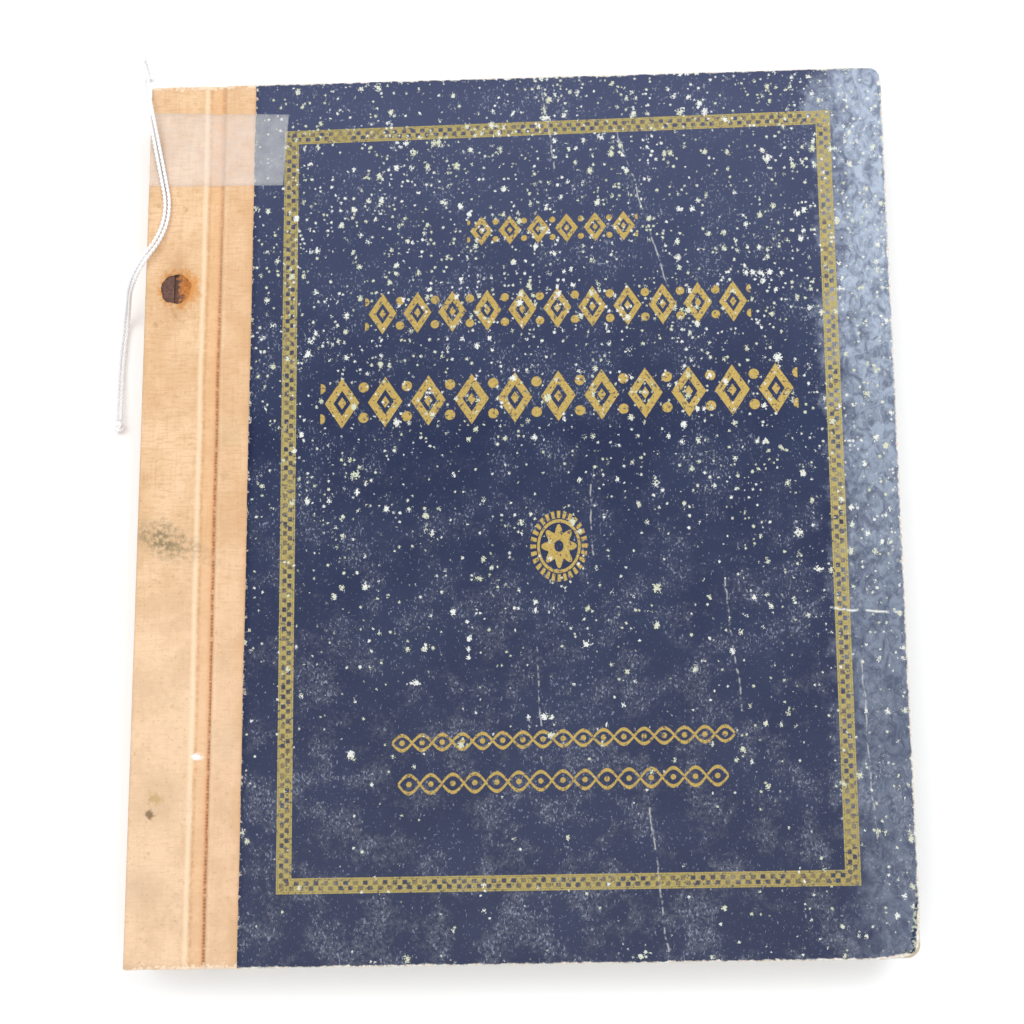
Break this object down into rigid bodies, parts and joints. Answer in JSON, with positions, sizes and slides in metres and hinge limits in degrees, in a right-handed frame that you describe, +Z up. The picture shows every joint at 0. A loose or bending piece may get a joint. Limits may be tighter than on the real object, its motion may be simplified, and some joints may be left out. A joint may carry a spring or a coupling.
{
  "type": "stamp album",
  "caption": "Quarto post-bound collector's album with cloth-hinged boards, a gilt border on worn dark blue covering, and hinged leaves for mounting stamps",
  "frame": {"origin": "middle of the footprint, on the surface the album lies on", "axes": "+X from the spine to the fore-edge, +Y to the head of the album, +Z up through the front cover"},
  "size_m": [0.231, 0.2724, 0.0249],
  "materials": {
    "board": "grey-brown strawboard, fibrous where worn",
    "cover_paper": "dark blue grained covering paper, flecked and scuffed, gilt border",
    "cloth": "sized book cloth, fine plain weave, faded to peach",
    "endpaper": "cream endpaper, matt",
    "leaf_paper": "ivory album leaf, matt, toned at the edges",
    "guard_card": "buff guard card",
    "linen": "thin white linen hinge",
    "steel": "rusted mild steel",
    "tape": "clear sticky tape, slightly matt",
    "string": "white twisted cotton string"
  },
  "bodies": {
    "binding": {"front_strip_board": "board", "back_strip_board": "board", "spine_cloth": "cloth", "leaf_stubs": "leaf_paper", "guard_strips": "guard_card", "upper_binding_post": "steel", "lower_binding_post": "steel", "upper_post_screw": "steel", "lower_post_screw": "steel", "ticket_string": "string", "ticket_string_knot": "string"},
    "front_cover": {"front_cover_board": "board", "front_cover_paper": "cover_paper", "front_quarter_cloth": "cloth", "front_endpaper": "endpaper", "front_hinge_cloth": "cloth", "tape_strip": "tape"},
    "back_cover": {"back_cover_board": "board", "back_cover_paper": "cover_paper", "back_quarter_cloth": "cloth", "back_endpaper": "endpaper", "back_hinge_cloth": "cloth"},
    "back_flyleaf": {"back_flyleaf": "leaf_paper", "back_flyleaf_hinge": "linen"},
    "leaf_section_8": {"leaf_section_8": "leaf_paper", "leaf_section_8_hinge": "linen"},
    "leaf_section_7": {"leaf_section_7": "leaf_paper", "leaf_section_7_hinge": "linen"},
    "leaf_section_6": {"leaf_section_6": "leaf_paper", "leaf_section_6_hinge": "linen"},
    "leaf_section_5": {"leaf_section_5": "leaf_paper", "leaf_section_5_hinge": "linen"},
    "leaf_section_4": {"leaf_section_4": "leaf_paper", "leaf_section_4_hinge": "linen"},
    "leaf_section_3": {"leaf_section_3": "leaf_paper", "leaf_section_3_hinge": "linen"},
    "leaf_section_2": {"leaf_section_2": "leaf_paper", "leaf_section_2_hinge": "linen"},
    "leaf_section_1": {"leaf_section_1": "leaf_paper", "leaf_section_1_hinge": "linen"},
    "title_leaf": {"title_leaf": "leaf_paper", "title_leaf_hinge": "linen"},
    "front_flyleaf": {"front_flyleaf": "leaf_paper", "front_flyleaf_hinge": "linen"}
  },
  "joints": [
    {"name": "front_cover_hinge", "type": "hinge", "parent": "binding", "child": "front_cover", "pos_m": [-0.0909, 0, 0.02022], "axis": [0, -1, 0], "range_deg": [0, 160], "deforming": ["front_hinge_cloth", "tape_strip"]},
    {"name": "back_cover_hinge", "type": "hinge", "parent": "binding", "child": "back_cover", "pos_m": [-0.0909, 0, -0.0003], "axis": [0, 1, 0], "range_deg": [0, 160], "deforming": ["back_hinge_cloth"]},
    {"name": "back_flyleaf_turn", "type": "hinge", "parent": "binding", "child": "back_flyleaf", "pos_m": [-0.09056, 0, 0.00331], "axis": [0, -1, 0], "range_deg": [0, 5], "deforming": ["back_flyleaf_hinge"]},
    {"name": "leaf_section_8_turn", "type": "hinge", "parent": "binding", "child": "leaf_section_8", "pos_m": [-0.08929, 0, 0.00441], "axis": [0, -1, 0], "range_deg": [0, 14.5], "deforming": ["leaf_section_8_hinge"]},
    {"name": "leaf_section_7_turn", "type": "hinge", "parent": "binding", "child": "leaf_section_7", "pos_m": [-0.08742, 0, 0.00621], "axis": [0, -1, 0], "range_deg": [0, 31], "deforming": ["leaf_section_7_hinge"]},
    {"name": "leaf_section_6_turn", "type": "hinge", "parent": "binding", "child": "leaf_section_6", "pos_m": [-0.08599, 0, 0.00814], "axis": [0, -1, 0], "range_deg": [0, 47.5], "deforming": ["leaf_section_6_hinge"]},
    {"name": "leaf_section_5_turn", "type": "hinge", "parent": "binding", "child": "leaf_section_5", "pos_m": [-0.085, 0, 0.01014], "axis": [0, -1, 0], "range_deg": [0, 64], "deforming": ["leaf_section_5_hinge"]},
    {"name": "leaf_section_4_turn", "type": "hinge", "parent": "binding", "child": "leaf_section_4", "pos_m": [-0.08446, 0, 0.01214], "axis": [0, -1, 0], "range_deg": [0, 80.5], "deforming": ["leaf_section_4_hinge"]},
    {"name": "leaf_section_3_turn", "type": "hinge", "parent": "binding", "child": "leaf_section_3", "pos_m": [-0.08436, 0, 0.01408], "axis": [0, -1, 0], "range_deg": [0, 97], "deforming": ["leaf_section_3_hinge"]},
    {"name": "leaf_section_2_turn", "type": "hinge", "parent": "binding", "child": "leaf_section_2", "pos_m": [-0.0847, 0, 0.01589], "axis": [0, -1, 0], "range_deg": [0, 113.5], "deforming": ["leaf_section_2_hinge"]},
    {"name": "leaf_section_1_turn", "type": "hinge", "parent": "binding", "child": "leaf_section_1", "pos_m": [-0.08549, 0, 0.01751], "axis": [0, -1, 0], "range_deg": [0, 130], "deforming": ["leaf_section_1_hinge"]},
    {"name": "title_leaf_turn", "type": "hinge", "parent": "binding", "child": "title_leaf", "pos_m": [-0.08636, 0, 0.01833], "axis": [0, -1, 0], "range_deg": [0, 138], "deforming": ["title_leaf_hinge"]},
    {"name": "front_flyleaf_turn", "type": "hinge", "parent": "binding", "child": "front_flyleaf", "pos_m": [-0.08671, 0, 0.01882], "axis": [0, -1, 0], "range_deg": [0, 146], "deforming": ["front_flyleaf_hinge"]}
  ],
  "couplings": [
    {"joint": "back_flyleaf_turn", "follows": "front_cover_hinge", "ratio": 0.03125},
    {"joint": "leaf_section_8_turn", "follows": "front_cover_hinge", "ratio": 0.09062},
    {"joint": "leaf_section_7_turn", "follows": "front_cover_hinge", "ratio": 0.19375},
    {"joint": "leaf_section_6_turn", "follows": "front_cover_hinge", "ratio": 0.29687},
    {"joint": "leaf_section_5_turn", "follows": "front_cover_hinge", "ratio": 0.4},
    {"joint": "leaf_section_4_turn", "follows": "front_cover_hinge", "ratio": 0.50312},
    {"joint": "leaf_section_3_turn", "follows": "front_cover_hinge", "ratio": 0.60624},
    {"joint": "leaf_section_2_turn", "follows": "front_cover_hinge", "ratio": 0.70937},
    {"joint": "leaf_section_1_turn", "follows": "front_cover_hinge", "ratio": 0.8125},
    {"joint": "title_leaf_turn", "follows": "front_cover_hinge", "ratio": 0.8625},
    {"joint": "front_flyleaf_turn", "follows": "front_cover_hinge", "ratio": 0.9125}
  ]
}
